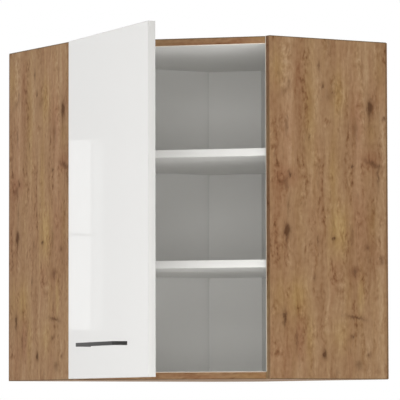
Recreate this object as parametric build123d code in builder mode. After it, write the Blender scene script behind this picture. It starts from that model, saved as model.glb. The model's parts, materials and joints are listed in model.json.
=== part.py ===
from build123d import *
from math import cos, radians, sin, sqrt
import os

os.makedirs("parts", exist_ok=True)

# A corner wall cabinet with a diagonal door. All sizes are in millimetres.
# Frame: the origin is the room corner at the level of the underside, +Z is up and -Y points out
# of the corner, towards the person who opens the door. Each wall runs away at 45 degrees.

# ---- driving sizes: carcass ----
wall_length = 600.0        # along each wall, from the room corner to the outer face of a side
side_depth = 297.0         # wall face to front edge of a side, with back sheet and edging
height = 720.0
board = 16.0               # thickness of every melamine-faced board
back_sheet = 3.0
sheet_inset = 1.0          # back sheet edges stay inside the carcass outline
corner_cut = 70.0          # length cut off each wall by the panel across the room corner
edging = 0.8
rail_setback = 3.0         # top and bottom boards, behind the inner front corners of the sides
shelf_setback = 19.0       # shelves, behind the same corners
shelf_count = 2
shelf_gap = 0.5            # play of a shelf at the sides and at the back

# ---- driving sizes: fasteners of the carcass ----
hole_play = 0.05           # on the radius of every hole that a fastener fills
depth_play = 0.3           # at the blind end of such a hole
dowel_radius = 4.0
dowel_in_side = 12.0
dowel_in_board = 18.0
dowel_from_wall = 50.0     # rear row of dowels
dowel_from_front = 47.0    # front row, behind the front edge of the side
cam_from_wall = 90.0
cam_from_front = 87.0
cam_radius = 7.5
cam_height = 12.5
cam_reach = 34.0           # side face to cam centre
cam_slot_length = 8.0      # driver slot
cam_slot_width = 1.4
cam_slot_depth = 1.5
bolt_radius = 3.0
bolt_thread_radius = 2.5
bolt_in_side = 11.0
cap_radius = 8.7
cap_height = 0.9
rear_screw_spacing = 50.0
rear_screw_length = 50.0
rear_screw_radius = 3.4
rear_screw_head_radius = 5.0
rear_screw_head_height = 4.0
nail_radius = 0.8
nail_head_radius = 2.0
nail_head_height = 0.8
nail_length = 13.0
nails_up_a_side = 5
nail_margin = 60.0         # first and last nail, from the ends of the sheet
nails_along_a_board = 3
board_nail_first = 200.0   # from the room corner
board_nail_inset = 144.0   # last of these nails, from the inner face of the side
rear_nail_inset = 6.0      # from the end of the sheet at the room corner

# ---- driving sizes: shelf supports and wall brackets ----
support_from_wall = 50.0
support_from_front = 62.0
support_pin_radius = 2.5
support_pin_depth = 10.0
support_width = 12.0
support_height = 10.0
support_reach = 8.0
bracket_height = 40.0
bracket_leg = 50.0
bracket_steel = 2.0
bracket_below_top = 8.0
wall_hole_radius = 4.5
wall_hole_from_side = 26.0
bracket_bend = 3.0         # outer radius of the folded corner
bracket_screw_near = 24.0  # out from the wall
bracket_screw_far = 42.0
bracket_screw_rise = 11.0  # near pair, above and below mid height
wood_screw_radius = 2.0
wood_screw_depth = 12.0
wood_screw_head_radius = 4.0
wood_screw_head_height = 2.2

# ---- driving sizes: door and handle ----
door_thickness = 16.0
door_side_gap = 2.25       # shut door, inside the outer front corners of the sides
door_end_gap = 2.0         # door, inside the top and the underside of the carcass
door_gap = 2.0             # shut door, in front of the outer front corners
open_angle = 51.2          # the door stands open as modelled
handle_spacing = 192.0
handle_bar = 8.0           # height of the bar and the legs, and width of a leg
handle_grip = 8.0          # thickness of the bar, away from the door
handle_standoff = 32.0
handle_from_end = 69.5     # centre of the handle above the lower end of the door
handle_corner = 3.0        # outer corner radius of the bow
handle_inner_corner = 1.5
handle_edge = 0.6          # chamfer along the bow
handle_screw_radius = 2.0
handle_screw_grip = 10.0   # length in the handle
handle_screw_head_radius = 4.2
handle_screw_head_height = 2.4

# ---- driving sizes: single-pivot cup hinges ----
hinge_from_end = 98.0      # hinge centre to the end of the door
pivot_inset = 2.0          # pin centre, in from the hinge edge of the door
pivot_depth = 4.0          # pin centre, in front of the back face of the door
pin_radius = 1.6
pin_play = 0.05
knuckle_radius = 3.0
knuckle_half = 7.0         # half height of the arm's knuckle
knuckle_gap = 0.3
ear_height = 5.7
pin_head_radius = 2.4
pin_head_height = 0.8
notch_width = 6.0          # pocket for the knuckle, in from the hinge edge
notch_half = 15.0
notch_depth = 8.0
leaf_thickness = 1.5
leaf_half = 13.0
leaf_window = 7.5          # clears the arm, measured in from the hinge edge
cup_radius = 17.4
cup_wall = 1.1
cup_depth = 11.0
cup_floor = 1.0
cup_inset = 26.0           # cup centre, in from the hinge edge
cup_flange = 2.1           # flange beyond the cup
wing_offset = 4.0          # cup screws, further in than the cup centre
wing_spacing = 48.0
wing_width = 12.0
cup_screw_radius = 1.7
cup_screw_head_radius = 3.4
cup_screw_head_height = 1.4
cup_screw_depth = 11.0
arm_steel = 2.0
arm_front_gap = 3.25       # front edge of the side to the arm that crosses it
arm_lift = 7.0             # inner face of the side to the arm
arm_length = 76.0          # behind the bend
arm_lip = 1.5
arm_lip_back = 3.0         # lips stop short of the arm's rear end
arm_lip_length = 50.0
plate_setback = 37.0       # plate screws, behind the front edge of the side
plate_spacing = 32.0
plate_width = 44.0
plate_wing = 14.0
plate_steel = 2.0
plate_body_half = 5.0      # half height of the raised body
plate_body_gap = 0.3
arm_screw_back = 14.0      # arm screw, behind the plate screws
arm_screw_radius = 2.0
arm_screw_head_radius = 4.0
arm_screw_head_height = 1.8

# ---- places worked out from the sizes ----
root2 = sqrt(2)
SIDES = {"left": -1, "right": 1}
reach = wall_length - board                     # along the wall, to the inner face of a side
front_y = -(wall_length + side_depth) / root2   # outer front corners of the sides
inner_front = reach + side_depth                # sum of the two wall distances at that line
rail_front = inner_front - rail_setback * root2
shelf_front = inner_front - shelf_setback * root2
rear_inside = corner_cut + board * root2        # the same sum at the inner face of the rear panel
edging_step = edging * root2
dowel_rows = (dowel_from_wall, side_depth - dowel_from_front)
cam_rows = (cam_from_wall, side_depth - cam_from_front)
support_rows = (support_from_wall, side_depth - support_from_front)
bay = (height - (shelf_count + 2) * board) / (shelf_count + 1)
shelf_levels = [board + bay + level * (bay + board) for level in range(shelf_count)]
shelf_names = ["lower_shelf", "upper_shelf"]
board_levels = {"bottom": 0.0, "top": height - board}
support_drop = support_height / 2               # support pin below the underside of its shelf
bracket_level = height - board - bracket_below_top - bracket_height / 2
bracket_screws = ((bracket_screw_near, -bracket_screw_rise), (bracket_screw_near, bracket_screw_rise),
                  (bracket_screw_far, 0.0))

door_width = (wall_length - side_depth) * root2 - 2 * door_side_gap
door_height = height - 2 * door_end_gap
swing = radians(open_angle)
across = Vector(cos(swing), -sin(swing), 0)     # along the door, away from its hinges
outward = Vector(-sin(swing), -cos(swing), 0)   # normal of the door's outer face
pivot = Vector(-door_width / 2 + pivot_inset, front_y - door_gap - pivot_depth, 0)
door_corner = pivot - across * pivot_inset - outward * pivot_depth
handle_height = door_end_gap + handle_from_end
hinge_levels = {"lower": door_end_gap + hinge_from_end, "upper": height - door_end_gap - hinge_from_end}


def plan(level):
    """Horizontal plane whose X runs along the right-hand wall and -Y along the left-hand one."""
    return Plane((0, 0, level), x_dir=(1, -1, 0), z_dir=(0, 0, 1))


def wall_face(hand):
    """Face of a wall: a point (side * distance from the room corner, height)."""
    side = SIDES[hand]
    return Plane((0, 0, 0), x_dir=(1, -side, 0), z_dir=(-side, -1, 0))


def inner_face(hand):
    """Inner face of a side panel: a point (side * distance from the wall, height)."""
    side = SIDES[hand]
    return Plane((side * reach / root2, -reach / root2, 0), x_dir=(-1, -side, 0), z_dir=(-side, 1, 0))


rear_face = Plane((0, -corner_cut / root2, 0), x_dir=(1, 0, 0), z_dir=(0, -1, 0))
door_back = Plane(door_corner, x_dir=across, z_dir=outward)


def door_level(origin, level):
    """Horizontal plane at a point of the door: X across the door, Y into the cabinet when shut."""
    return Plane((origin.X, origin.Y, level), x_dir=across, z_dir=(0, 0, 1))


def corner_outline(gap, front):
    """Outline of a board that fills the corner, up to a diagonal front line."""
    end = reach - gap
    back = back_sheet + gap
    cut = rear_inside + gap * root2
    with BuildLine() as outline:
        Polyline(
            (cut - back, -back), (end, -back), (end, end - front),
            (front - end, -end), (back, -end), (back, back - cut),
            close=True,
        )
    make_face(outline.line)


def front_strip(gap, back, front):
    """Outline of the edging on a diagonal front, between the two sides."""
    end = reach - gap
    with BuildLine() as outline:
        Polyline(
            (end, end - back), (end, end - front), (front - end, -end), (back - end, -end), close=True
        )
    make_face(outline.line)


def drill(plane, points, radius, depth):
    """Blind holes from a face, along the normal of its plane if the depth is positive."""
    with BuildSketch(plane) as holes:
        with Locations(*points):
            Circle(radius)
    extrude(holes.sketch, amount=depth, mode=Mode.SUBTRACT)


def rod(plane, points, radius, start, end):
    """Round bars between two distances from a plane."""
    with BuildSketch(plane.offset(start)) as rounds:
        with Locations(*points):
            Circle(radius)
    extrude(rounds.sketch, amount=end - start)


def save(piece, label):
    """Name a finished piece and write its file."""
    piece.part.label = label
    export_step(piece.part, f"parts/{label}.step")


def spread(first, last, count):
    """Evenly spaced values from first to last."""
    return [first + (last - first) * step / (count - 1) for step in range(count)]


def end_points(side, rows):
    """Points on a side panel's inner face, at mid thickness of the bottom and top boards."""
    return [(side * row, level + board / 2) for row in rows for level in board_levels.values()]


side_nails = [(wall_length - board / 2, level)
              for level in spread(nail_margin, height - nail_margin, nails_up_a_side)]
board_nail_places = spread(board_nail_first, reach - board_nail_inset, nails_along_a_board)
board_nails = [(place, level + board / 2) for place in board_nail_places for level in board_levels.values()]
rear_nails = [(corner_cut + rear_nail_inset, level)
              for level in spread(nail_margin, height - nail_margin, nails_up_a_side)]
support_levels = [level - support_drop for level in shelf_levels]
rear_screw_places = (-rear_screw_spacing / 2, rear_screw_spacing / 2)
rear_screw_points = [(x, level + board / 2) for x in rear_screw_places for level in board_levels.values()]
cam_places = [(reach - cam_reach, -row) for row in cam_rows] + [(row, cam_reach - reach) for row in cam_rows]


def mirrored(side, points):
    """The same points on the left or the right wall or panel."""
    return [(side * along, level) for along, level in points]


# ---- side panels, with their front edging ----
plate_holes = [(-(side_depth - plate_setback), level + shift)
               for level in hinge_levels.values() for shift in (-plate_spacing / 2, plate_spacing / 2)]

for hand, side in SIDES.items():
    face = inner_face(hand)
    with BuildPart() as side_panel:
        with BuildSketch(wall_face(hand).offset(back_sheet)):
            with Locations((side * (reach + board / 2), height / 2)):
                Rectangle(board, height)
        extrude(amount=side_depth - edging - back_sheet)
        drill(face, end_points(side, dowel_rows), dowel_radius + hole_play, -dowel_in_side - depth_play)
        drill(face, end_points(side, cam_rows), bolt_thread_radius + hole_play, -bolt_in_side - depth_play)
        drill(face, [(side * row, level) for row in support_rows for level in support_levels],
              support_pin_radius + hole_play, -support_pin_depth - depth_play)
        drill(face, [(side * out, bracket_level + up) for out, up in bracket_screws],
              wood_screw_radius + hole_play, -wood_screw_depth - depth_play)
        drill(wall_face(hand), mirrored(side, side_nails), nail_radius + hole_play,
              nail_length + depth_play)
        if hand == "left":
            drill(face, plate_holes, wood_screw_radius + hole_play, -wood_screw_depth - depth_play)
    save(side_panel, f"{hand}_side_panel")

    with BuildPart() as side_edging:
        with BuildSketch(wall_face(hand).offset(side_depth - edging)):
            with Locations((side * (reach + board / 2), height / 2)):
                Rectangle(board, height)
        extrude(amount=edging)
    save(side_edging, f"{hand}_side_edging")

# ---- top and bottom boards ----
for name, level in board_levels.items():
    mid = level + board / 2
    with BuildPart() as corner_board:
        with BuildSketch(plan(level)):
            corner_outline(0, rail_front - edging_step)
        extrude(amount=board)
        for hand, side in SIDES.items():
            face = inner_face(hand)
            drill(face, [(side * row, mid) for row in dowel_rows], dowel_radius + hole_play,
                  dowel_in_board + depth_play)
            drill(face, [(side * row, mid) for row in cam_rows], bolt_radius + hole_play,
                  cam_reach + depth_play)
            drill(wall_face(hand), [(side * place, mid) for place in board_nail_places],
                  nail_radius + hole_play, nail_length + depth_play)
        drill(plan(level + board), cam_places, cam_radius + hole_play, -cam_height - depth_play)
        drill(rear_face, [(x, mid) for x in rear_screw_places], rear_screw_radius + hole_play,
              rear_screw_length + depth_play)
    save(corner_board, f"{name}_panel")

    with BuildPart() as board_edging:
        with BuildSketch(plan(level)):
            front_strip(0, rail_front - edging_step, rail_front)
        extrude(amount=board)
    save(board_edging, f"{name}_panel_edging")

# ---- panel across the room corner ----
with BuildPart() as rear_corner_panel:
    with BuildSketch(plan(0)):
        with BuildLine():
            Polyline(
                (corner_cut - back_sheet, -back_sheet), (rear_inside - back_sheet, -back_sheet),
                (back_sheet, back_sheet - rear_inside), (back_sheet, back_sheet - corner_cut),
                close=True,
            )
        make_face()
    extrude(amount=height)
    drill(rear_face, rear_screw_points, rear_screw_radius + hole_play, board)
    drill(rear_face, rear_screw_points, rear_screw_head_radius + hole_play, rear_screw_head_height)
    for hand, side in SIDES.items():
        drill(wall_face(hand), mirrored(side, rear_nails), nail_radius + hole_play,
              nail_length + depth_play)
save(rear_corner_panel, "rear_corner_panel")

# ---- back sheets ----
wall_hole = (reach - wall_hole_from_side, bracket_level)
for hand, side in SIDES.items():
    face = wall_face(hand)
    all_nails = mirrored(side, side_nails + board_nails + rear_nails)
    with BuildPart() as sheet:
        with BuildSketch(face):
            with Locations((side * (corner_cut + wall_length - sheet_inset) / 2, height / 2)):
                Rectangle(wall_length - sheet_inset - corner_cut, height - 2 * sheet_inset)
        extrude(amount=back_sheet)
        drill(face, all_nails, nail_radius + hole_play, back_sheet)
        drill(face, all_nails, nail_head_radius + hole_play, nail_head_height)
        drill(face, mirrored(side, [wall_hole]), wall_hole_radius, back_sheet)
    save(sheet, f"{hand}_back_sheet")

# ---- shelves with their front edging, and the blocks that carry them ----
for name, level in zip(shelf_names, shelf_levels):
    with BuildPart() as shelf:
        with BuildSketch(plan(level)):
            corner_outline(shelf_gap, shelf_front - edging_step)
        extrude(amount=board)
    save(shelf, name)

    with BuildPart() as shelf_edging:
        with BuildSketch(plan(level)):
            front_strip(shelf_gap, shelf_front - edging_step, shelf_front)
        extrude(amount=board)
    save(shelf_edging, f"{name}_edging")

    carriers = [(inner_face(hand), side * row) for hand, side in SIDES.items() for row in support_rows]
    with BuildPart() as supports:
        for face, place in carriers:
            with BuildSketch(face):
                with Locations((place, level - support_drop)):
                    Rectangle(support_width, support_height)
            extrude(amount=support_reach)
            rod(face, [(place, level - support_drop)], support_pin_radius, -support_pin_depth, 0)
    save(supports, f"{name}_supports")

# ---- dowels, cam bolts, cams and their caps ----
with BuildPart() as dowels:
    for hand, side in SIDES.items():
        rod(inner_face(hand), end_points(side, dowel_rows), dowel_radius, -dowel_in_side, dowel_in_board)
save(dowels, "carcass_dowels")

with BuildPart() as cam_bolts:
    for hand, side in SIDES.items():
        points = end_points(side, cam_rows)
        rod(inner_face(hand), points, bolt_thread_radius, -bolt_in_side, 0)
        rod(inner_face(hand), points, bolt_radius, 0, cam_reach)
save(cam_bolts, "cam_bolts")

with BuildPart() as cams:
    for level in board_levels.values():
        with BuildSketch(plan(level + board)):
            with Locations(*cam_places):
                Circle(cam_radius)
        extrude(amount=-cam_height)
        with BuildSketch(plan(level + board)):
            with Locations(*cam_places):
                Rectangle(cam_slot_length, cam_slot_width)
        extrude(amount=-cam_slot_depth, mode=Mode.SUBTRACT)
    for hand, side in SIDES.items():
        drill(inner_face(hand), end_points(side, cam_rows), bolt_radius + hole_play,
              cam_reach + depth_play)
save(cams, "connector_cams")

with BuildPart() as caps:
    with BuildSketch(plan(board)):
        with Locations(*cam_places):
            Circle(cap_radius)
    extrude(amount=cap_height)
save(caps, "cam_caps")

# ---- screws through the rear panel, and nails of the back sheets ----
with BuildPart() as rear_screws:
    rod(rear_face, rear_screw_points, rear_screw_head_radius, 0, rear_screw_head_height)
    rod(rear_face, rear_screw_points, rear_screw_radius, rear_screw_head_height, rear_screw_length)
save(rear_screws, "rear_panel_screws")

for hand, side in SIDES.items():
    points = mirrored(side, side_nails + board_nails + rear_nails)
    with BuildPart() as nails:
        rod(wall_face(hand), points, nail_head_radius, 0, nail_head_height)
        rod(wall_face(hand), points, nail_radius, nail_head_height, nail_length)
    save(nails, f"{hand}_back_nails")

# ---- folded wall brackets and their screws ----
for hand, side in SIDES.items():
    outer = reach - bracket_steel
    leg_end = reach - bracket_leg
    shell = back_sheet + bracket_steel
    corners = [(reach, back_sheet), (reach, back_sheet + bracket_leg), (outer, back_sheet + bracket_leg),
               (outer, shell), (leg_end, shell), (leg_end, back_sheet)]
    outline = [(a, -b) if side > 0 else (b, -a) for a, b in corners]
    with BuildPart() as bracket:
        with BuildSketch(plan(bracket_level - bracket_height / 2)):
            with BuildLine():
                Polyline(*outline, close=True)
            make_face()
        extrude(amount=bracket_height)
        drill(wall_face(hand), mirrored(side, [wall_hole]), wall_hole_radius, back_sheet + bracket_steel)
        drill(inner_face(hand), [(side * out, bracket_level + up) for out, up in bracket_screws],
              wood_screw_radius + hole_play, bracket_steel)
        heel = bracket.edges().filter_by(Axis.Z).sort_by_distance(
            wall_face(hand).from_local_coords((side * reach, bracket_level, back_sheet)))[0]
        fillet(heel, bracket_bend)
    save(bracket, f"{hand}_hanging_bracket")

with BuildPart() as bracket_fixings:
    for hand, side in SIDES.items():
        points = [(side * out, bracket_level + up) for out, up in bracket_screws]
        rod(inner_face(hand), points, wood_screw_radius, -wood_screw_depth, bracket_steel)
        rod(inner_face(hand), points, wood_screw_head_radius, bracket_steel,
            bracket_steel + wood_screw_head_height)
save(bracket_fixings, "bracket_screws")

# ---- door ----
cup_centres = [(cup_inset, level) for level in hinge_levels.values()]
wing_points = [(cup_inset + wing_offset, level + shift) for level in hinge_levels.values()
               for shift in (-wing_spacing / 2, wing_spacing / 2)]
handle_holes = [(door_width / 2 + shift, handle_height)
                for shift in (-handle_spacing / 2, handle_spacing / 2)]


def cut_notches():
    """Pockets for the hinge knuckles, open to the back and to the hinge edge of the door."""
    with BuildSketch(door_back) as pockets:
        with Locations(*[(notch_width / 2, level) for level in hinge_levels.values()]):
            Rectangle(notch_width, 2 * notch_half)
    extrude(pockets.sketch, amount=notch_depth, mode=Mode.SUBTRACT)


with BuildPart() as door_panel:
    with BuildSketch(door_back):
        with Locations((door_width / 2, height / 2)):
            Rectangle(door_width - 2 * edging, door_height - 2 * edging)
    extrude(amount=door_thickness)
    cut_notches()
    drill(door_back, cup_centres, cup_radius + 2 * hole_play, cup_depth + depth_play)
    drill(door_back, wing_points, cup_screw_radius + hole_play, cup_screw_depth + depth_play)
    drill(door_back, handle_holes, handle_screw_radius + hole_play, door_thickness)
save(door_panel, "door_panel")

with BuildPart() as door_edging:
    with BuildSketch(door_back):
        with Locations((door_width / 2, height / 2)):
            Rectangle(door_width, door_height)
            Rectangle(door_width - 2 * edging, door_height - 2 * edging, mode=Mode.SUBTRACT)
    extrude(amount=door_thickness)
    cut_notches()
save(door_edging, "door_edging")

# ---- bow handle and its screws ----
handle_middle = door_corner + across * (door_width / 2) + outward * door_thickness
handle_length = handle_spacing + handle_bar
inner_length = handle_spacing - handle_bar
with BuildPart() as handle:
    with BuildSketch(door_level(handle_middle, handle_height - handle_bar / 2)):
        with BuildLine():
            half = handle_length / 2
            inner = inner_length / 2
            bar_back = handle_grip - handle_standoff
            outer_bow = FilletPolyline((-half, 0), (-half, -handle_standoff), (half, -handle_standoff),
                                       (half, 0), radius=handle_corner)
            inner_bow = FilletPolyline((inner, 0), (inner, bar_back), (-inner, bar_back), (-inner, 0),
                                       radius=handle_inner_corner)
            Line(outer_bow @ 1, inner_bow @ 0)
            Line(inner_bow @ 1, outer_bow @ 0)
        make_face()
    extrude(amount=handle_bar)
    long_edges = handle.edges().group_by(Axis.Z)
    chamfer(long_edges[0] + long_edges[-1], handle_edge)
    drill(door_back.offset(door_thickness), handle_holes, handle_screw_radius + hole_play,
          handle_screw_grip + depth_play)
save(handle, "handle")

with BuildPart() as handle_screws:
    rod(door_back, handle_holes, handle_screw_radius, 0, door_thickness + handle_screw_grip)
    rod(door_back, handle_holes, handle_screw_head_radius, -handle_screw_head_height, 0)
save(handle_screws, "handle_screws")

# ---- hinges ----
ear_start = knuckle_half + knuckle_gap
ear_end = ear_start + ear_height
pin_end = ear_end + knuckle_gap
pivot_along = (pivot.X - pivot.Y) / root2       # the pivot in the plan frame
pivot_out = (pivot.X + pivot.Y) / root2
arm_front = side_depth + arm_front_gap
arm_back = arm_front + arm_steel - arm_length
arm_base = -(reach - arm_lift)                  # face of the arm towards the side panel
plate_middle = side_depth - plate_setback
plate_top = -(reach - plate_steel)
body_top = arm_base - plate_body_gap
screw_place = plate_middle - arm_screw_back

for name, level in hinge_levels.items():
    with BuildPart() as cup:
        with BuildSketch(door_back.offset(-leaf_thickness)):
            web_side = pivot_inset + knuckle_radius - leaf_thickness
            with Locations(((web_side + cup_inset) / 2, level)):
                Rectangle(cup_inset - web_side, 2 * leaf_half)
            with Locations((cup_inset, level)):
                Circle(cup_radius + cup_flange)
            with Locations((cup_inset + wing_offset, level)):
                SlotCenterToCenter(wing_spacing, wing_width, rotation=90)
            with Locations((leaf_window / 2, level)):
                Rectangle(leaf_window, 2 * ear_start, mode=Mode.SUBTRACT)
        extrude(amount=leaf_thickness)
        rod(door_back, [(cup_inset, level)], cup_radius, 0, cup_depth)
        drill(door_back.offset(-leaf_thickness), [(cup_inset, level)], cup_radius - cup_wall,
              leaf_thickness + cup_depth - cup_floor)
        wing_pair = [point for point in wing_points if abs(point[1] - level) < wing_spacing]
        drill(door_back.offset(-leaf_thickness), wing_pair, cup_screw_radius + hole_play, leaf_thickness)
        for start in (level + ear_start, level - ear_end):
            with BuildSketch(door_level(pivot, start)):
                Circle(knuckle_radius)
                with Locations((knuckle_radius - leaf_thickness / 2, (pivot_depth + leaf_thickness) / 2)):
                    Rectangle(leaf_thickness, pivot_depth + leaf_thickness)
                Circle(pin_radius + pin_play, mode=Mode.SUBTRACT)
            extrude(amount=ear_height)
    save(cup, f"{name}_hinge_cup")

    with BuildPart() as arm:
        with BuildSketch(plan(level - knuckle_half)):
            with Locations((pivot_along, pivot_out)):
                Circle(knuckle_radius)
            with Locations((arm_front + arm_steel / 2, (pivot_out + arm_base + arm_steel) / 2)):
                Rectangle(arm_steel, arm_base + arm_steel - pivot_out)
            with Locations((arm_back + arm_length / 2, arm_base + arm_steel / 2)):
                Rectangle(arm_length, arm_steel)
            with Locations((pivot_along, pivot_out)):
                Circle(pin_radius, mode=Mode.SUBTRACT)
        extrude(amount=2 * knuckle_half)
        for start in (level - knuckle_half, level + knuckle_half - arm_lip):
            with BuildSketch(plan(start)):
                lip_height = arm_base - plate_top - plate_body_gap
                with Locations((arm_back + arm_lip_back + arm_lip_length / 2, arm_base - lip_height / 2)):
                    Rectangle(arm_lip_length, lip_height)
            extrude(amount=arm_lip)
        drill(inner_face("left"), [(-screw_place, level)], arm_screw_radius + 2 * hole_play,
              arm_lift + arm_steel)
    save(arm, f"{name}_hinge_arm")

    with BuildPart() as plate:
        with BuildSketch(inner_face("left")):
            with Locations((-plate_middle, level)):
                Rectangle(plate_wing, plate_spacing + plate_wing)
                Rectangle(plate_width, 2 * plate_body_half)
        extrude(amount=plate_steel)
        with BuildSketch(inner_face("left").offset(plate_steel)):
            with Locations((-plate_middle, level)):
                Rectangle(plate_width, 2 * plate_body_half)
        extrude(amount=arm_lift - plate_steel - plate_body_gap)
        plate_pair = [point for point in plate_holes if abs(point[1] - level) < plate_spacing]
        drill(inner_face("left"), plate_pair, wood_screw_radius + hole_play, plate_steel)
        drill(inner_face("left"), [(-screw_place, level)], arm_screw_radius + hole_play, arm_lift)
    save(plate, f"{name}_hinge_plate")

    with BuildPart() as pin:
        with BuildSketch(door_level(pivot, level - pin_end)):
            Circle(pin_radius)
        extrude(amount=2 * pin_end)
        for start in (level - pin_end - pin_head_height, level + pin_end):
            with BuildSketch(door_level(pivot, start)):
                Circle(pin_head_radius)
            extrude(amount=pin_head_height)
    save(pin, f"{name}_hinge_pin")

with BuildPart() as cup_screws:
    rod(door_back, wing_points, cup_screw_radius, -leaf_thickness, cup_screw_depth)
    rod(door_back, wing_points, cup_screw_head_radius, -leaf_thickness - cup_screw_head_height,
        -leaf_thickness)
save(cup_screws, "hinge_cup_screws")

with BuildPart() as plate_screws:
    rod(inner_face("left"), plate_holes, wood_screw_radius, -wood_screw_depth, plate_steel)
    rod(inner_face("left"), plate_holes, wood_screw_head_radius, plate_steel,
        plate_steel + wood_screw_head_height)
save(plate_screws, "hinge_plate_screws")

with BuildPart() as arm_screws:
    places = [(-screw_place, level) for level in hinge_levels.values()]
    rod(inner_face("left"), places, arm_screw_radius, plate_steel, arm_lift + arm_steel)
    rod(inner_face("left"), places, arm_screw_head_radius, arm_lift + arm_steel,
        arm_lift + arm_steel + arm_screw_head_height)
save(arm_screws, "hinge_arm_screws")
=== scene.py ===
# %% Load the cabinet
import bpy
import bmesh
import json
from math import cos, exp, pi, radians, sin, sqrt
from mathutils import Matrix, Vector


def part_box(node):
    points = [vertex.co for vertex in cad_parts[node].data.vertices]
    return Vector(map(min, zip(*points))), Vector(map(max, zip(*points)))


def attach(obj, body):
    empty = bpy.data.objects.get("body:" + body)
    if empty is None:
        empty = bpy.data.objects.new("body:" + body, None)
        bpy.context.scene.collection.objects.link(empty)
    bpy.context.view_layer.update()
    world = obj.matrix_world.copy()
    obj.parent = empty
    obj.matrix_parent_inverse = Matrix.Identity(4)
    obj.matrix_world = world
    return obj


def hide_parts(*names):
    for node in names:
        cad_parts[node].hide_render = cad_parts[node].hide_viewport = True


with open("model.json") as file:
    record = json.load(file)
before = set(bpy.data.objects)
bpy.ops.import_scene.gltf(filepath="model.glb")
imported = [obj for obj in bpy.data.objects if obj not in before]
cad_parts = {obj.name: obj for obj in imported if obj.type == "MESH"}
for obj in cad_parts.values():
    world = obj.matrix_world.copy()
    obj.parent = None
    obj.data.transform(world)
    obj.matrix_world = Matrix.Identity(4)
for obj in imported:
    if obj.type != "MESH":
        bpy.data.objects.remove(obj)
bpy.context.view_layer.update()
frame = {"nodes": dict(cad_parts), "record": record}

# %% [markdown]
# # A diagonal corner wall cabinet
# The cabinet hangs in the corner of a room. Its sides are boards with an oak decor outside and a
# white one inside, and its door is white high gloss and stands open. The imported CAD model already
# has every board, hinge and screw in its place, in metres, so this lesson is about looks: finishes
# for the boards, finer fittings, soft light and the camera. The origin is the corner of the room, +Z
# is up and each wall runs away at 45 degrees, so a few sizes are named first and everything else is
# worked out from them.

# %% Sizes that the looks need
MM = 1000.0              # millimetres in a metre; the sizes below are in millimetres
WALL = 600.0             # the outer face of a side, from the other wall
BOARD = 16.0             # thickness of the boards and the door
HEIGHT = 720.0
SIDE = 297.0             # depth of a side, from its wall to its front edge
SHEET = 3.0              # thickness of a back sheet
PLAY = 0.2               # a face is told by its place, give or take this much
UP = Vector((0, 0, 1))
RIGHT = Vector((1, 0, 0))
BACK = Vector((0, 1, 0))
ALONG_RIGHT = (RIGHT - BACK) / sqrt(2)       # away from the left-hand wall
ALONG_LEFT = (-RIGHT - BACK) / sqrt(2)       # away from the right-hand wall
print("a side's white face is", WALL - BOARD, "mm from the other wall")

# %% [markdown]
# The door is drawn open, as in the photograph, so its finish and its handle need its own directions.
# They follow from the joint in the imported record: its pin lies just inside the door's edge and a
# little in front of the door's back face.

# %% Where the open door is
PIN_FROM_EDGE, PIN_FROM_BACK = 0.002, 0.004  # metres
hinge = frame["record"]["behaviour"]["joints"][0]
opened = radians(-hinge["range_deg"][0])
ACROSS = Vector((cos(opened), -sin(opened), 0))      # along the door, away from its hinges
OUTWARD = Vector((-sin(opened), -cos(opened), 0))    # out of the door's glossy face
pin = Vector(hinge["pos_m"]) * Vector((1, 1, 0))
door_corner = pin - ACROSS * PIN_FROM_EDGE - OUTWARD * PIN_FROM_BACK
print("door corner", door_corner, "open by", round(-hinge["range_deg"][0], 1), "degrees")

# %% [markdown]
# ## Sums that are written as Python
# A finish is a small calculation that is done for each point of the surface. Blender stores it as a
# web of nodes, which is tiresome to place by hand. A wire stands for one output of such a node, and
# the usual signs between wires, or between a wire and a number, add the Math node that does the sum.

# %% A wire of a finish
class Wire:
    """One output of a node in the finish that is being made."""

    tree = None

    def __init__(self, socket):
        self.socket = socket

    @classmethod
    def node(cls, kind, settings=None, inputs=None, output=0):
        """Any node: its settings are set first, then the values or wires of its inputs."""
        made = cls.tree.nodes.new(kind)
        for name, value in (settings or {}).items():
            if name == "stops":
                elements = made.color_ramp.elements
                while len(elements) < len(value):
                    elements.new(0.5)
                for element, (position, colour) in zip(elements, value):
                    element.position, element.color = position, (*colour, 1)
            else:
                setattr(made, name, value)
        for name, value in (inputs or {}).items():
            if isinstance(value, Wire):
                cls.tree.links.new(value.socket, made.inputs[name])
            else:
                made.inputs[name].default_value = value
        return cls(made.outputs[output])

    @classmethod
    def maths(cls, operation, *terms):
        return cls.node("ShaderNodeMath", {"operation": operation}, dict(enumerate(terms)))

    def __add__(self, other):
        return Wire.maths("ADD", self, other)

    __radd__ = __add__

    def __sub__(self, other):
        return Wire.maths("SUBTRACT", self, other)

    def __rsub__(self, other):
        return Wire.maths("SUBTRACT", other, self)

    def __mul__(self, other):
        return Wire.maths("MULTIPLY", self, other)

    __rmul__ = __mul__

    def __truediv__(self, other):
        return Wire.maths("DIVIDE", self, other)

    def __rtruediv__(self, other):
        return Wire.maths("DIVIDE", other, self)

    def __pow__(self, other):
        return Wire.maths("POWER", self, other)

    def __rpow__(self, other):
        return Wire.maths("POWER", other, self)

    def __gt__(self, other):
        return Wire.maths("GREATER_THAN", self, other)

    def __lt__(self, other):
        return Wire.maths("LESS_THAN", self, other)

    def __abs__(self):
        return Wire.maths("ABSOLUTE", self)


print("a wire takes the signs + - * / ** > < and abs")

# %% [markdown]
# These few helpers are the words that the finishes below are written in. Noise gives a value between
# 0 and 1 that wanders about the middle, so a swing is how far it may pull something either way.

# %% Words for values
def least(first, second):
    """The smaller of two values."""
    return Wire.maths("MINIMUM", first, second)


def swing(value, amount):
    """A value round 0 from noise round a half."""
    return (value - 0.5) * amount


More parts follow.
